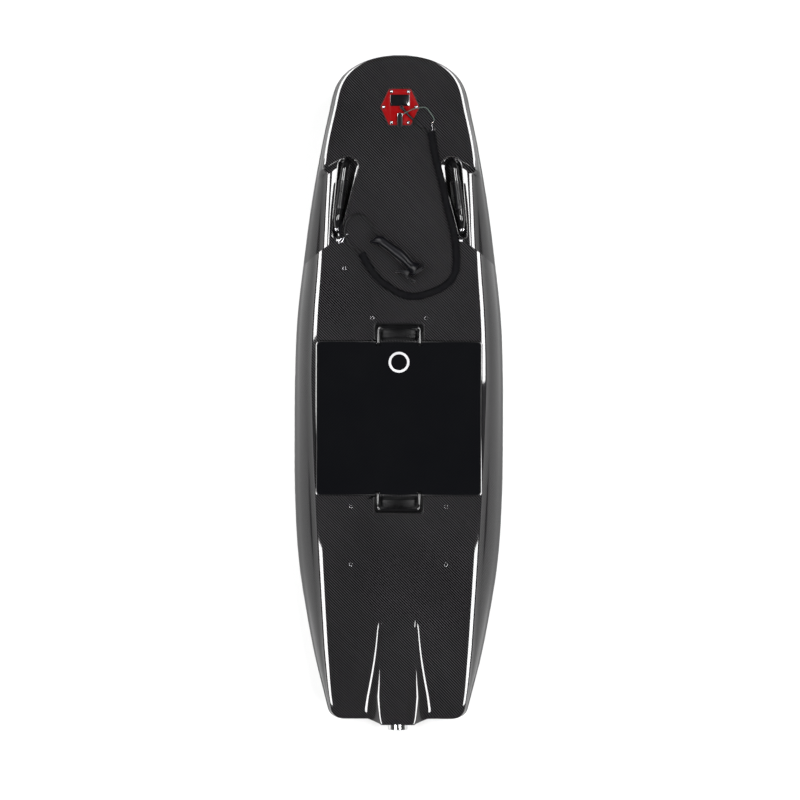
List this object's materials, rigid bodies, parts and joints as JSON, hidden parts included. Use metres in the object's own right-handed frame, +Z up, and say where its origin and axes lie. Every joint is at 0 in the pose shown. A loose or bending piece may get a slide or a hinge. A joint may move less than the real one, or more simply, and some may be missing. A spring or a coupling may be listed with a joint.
{
  "type": "electric jet surfboard",
  "caption": "Carbon electric jet surfboard with lift-out battery cassette, side handles, control plate and wired throttle handset.",
  "frame": {"origin": "centre of the board's outline at mid length, on the flat bottom", "axes": "+Y towards the nose, +X to the rider's right when facing the nose, +Z up through the deck"},
  "size_m": [0.565, 1.816, 0.1959],
  "materials": {
    "carbon": "gloss",
    "foam": "matte",
    "rubber": "matte",
    "black_plastic": "satin",
    "steel": "polished",
    "coated_tube": "gloss",
    "red_plate": "satin",
    "circuit_board": "satin",
    "display": "gloss",
    "handset_plastic": "matte",
    "deck_pad": "matte",
    "white_print": "satin",
    "cells": "satin",
    "brass": "satin",
    "aluminium": "satin",
    "motor_core": "satin",
    "copper": "satin",
    "cable_jacket": "satin",
    "bronze": "satin",
    "polished_nozzle": "polished",
    "tether_line": "satin",
    "sleeve_fabric": "matte"
  },
  "bodies": {
    "board": {"deck_shell": "carbon", "hull_shell": "carbon", "nose_foam": "foam", "battery_bay": "carbon", "bay_pads": "rubber", "front_recess_tray": "black_plastic", "rear_recess_tray": "black_plastic", "strap_inserts": "steel", "left_handle_pocket": "carbon", "right_handle_pocket": "carbon", "left_handle_bar": "coated_tube", "right_handle_bar": "coated_tube", "handle_grips": "rubber", "control_gasket": "rubber", "control_plate": "red_plate", "control_pod": "black_plastic", "control_board": "circuit_board", "display_window": "display", "deck_screws": "steel", "key_seat": "steel", "cable_gland": "black_plastic", "handset_left_shell": "handset_plastic", "handset_right_shell": "handset_plastic", "handset_flange": "handset_plastic", "handset_screws": "steel", "handset_sensor": "circuit_board", "trigger_pin": "steel", "power_socket": "black_plastic", "motor_housing": "aluminium", "motor_stator": "copper", "shaft_seal": "brass", "motor_controller": "aluminium", "phase_cables": "cable_jacket", "intake_duct": "black_plastic", "intake_grate": "steel", "pump_housing": "aluminium", "jet_nozzle": "polished_nozzle", "fins": "carbon", "tether": "tether_line", "tether_clip": "steel", "control_cable": "cable_jacket", "cable_sleeve": "sleeve_fabric", "snap_hook": "steel", "hook_strap": "sleeve_fabric"},
    "cassette": {"battery_case": "black_plastic", "battery_lid": "black_plastic", "lid_gasket": "rubber", "deck_pad": "deck_pad", "pad_ring": "white_print", "cell_block": "cells", "battery_board": "circuit_board", "power_plug": "brass", "bail_pins": "steel"},
    "front_bail_body": {"front_bail": "coated_tube"},
    "rear_bail_body": {"rear_bail": "coated_tube"},
    "trigger_body": {"throttle_trigger": "handset_plastic"},
    "key_body": {"magnetic_key": "black_plastic"},
    "drive_line": {"motor_rotor": "motor_core", "drive_shaft": "steel", "impeller": "bronze"}
  },
  "joints": [
    {"name": "cassette_lift", "type": "slide", "parent": "board", "child": "cassette", "axis": [0, 0, 1], "range_m": [0, 0.2]},
    {"name": "front_bail_swing", "type": "hinge", "parent": "cassette", "child": "front_bail_body", "pos_m": [0, 0.134, 0.1494], "axis": [1, 0, 0], "range_deg": [0, 92]},
    {"name": "rear_bail_swing", "type": "hinge", "parent": "cassette", "child": "rear_bail_body", "pos_m": [0, -0.268, 0.1494], "axis": [-1, 0, 0], "range_deg": [0, 92]},
    {"name": "trigger_pull", "type": "hinge", "parent": "board", "child": "trigger_body", "pos_m": [0.02963, 0.33422, 0.17], "axis": [0, 0, -1], "range_deg": [0, 16], "stiffness_Nm_per_rad": 0.3, "springref_deg": -5.73},
    {"name": "key_pull", "type": "slide", "parent": "board", "child": "key_body", "axis": [0, -0.1096, 0.994], "range_m": [0, 0.02]},
    {"name": "drive_line_spin", "type": "hinge", "parent": "board", "child": "drive_line", "pos_m": [0, -0.5, 0.092], "axis": [0, 1, 0], "continuous": true}
  ]
}
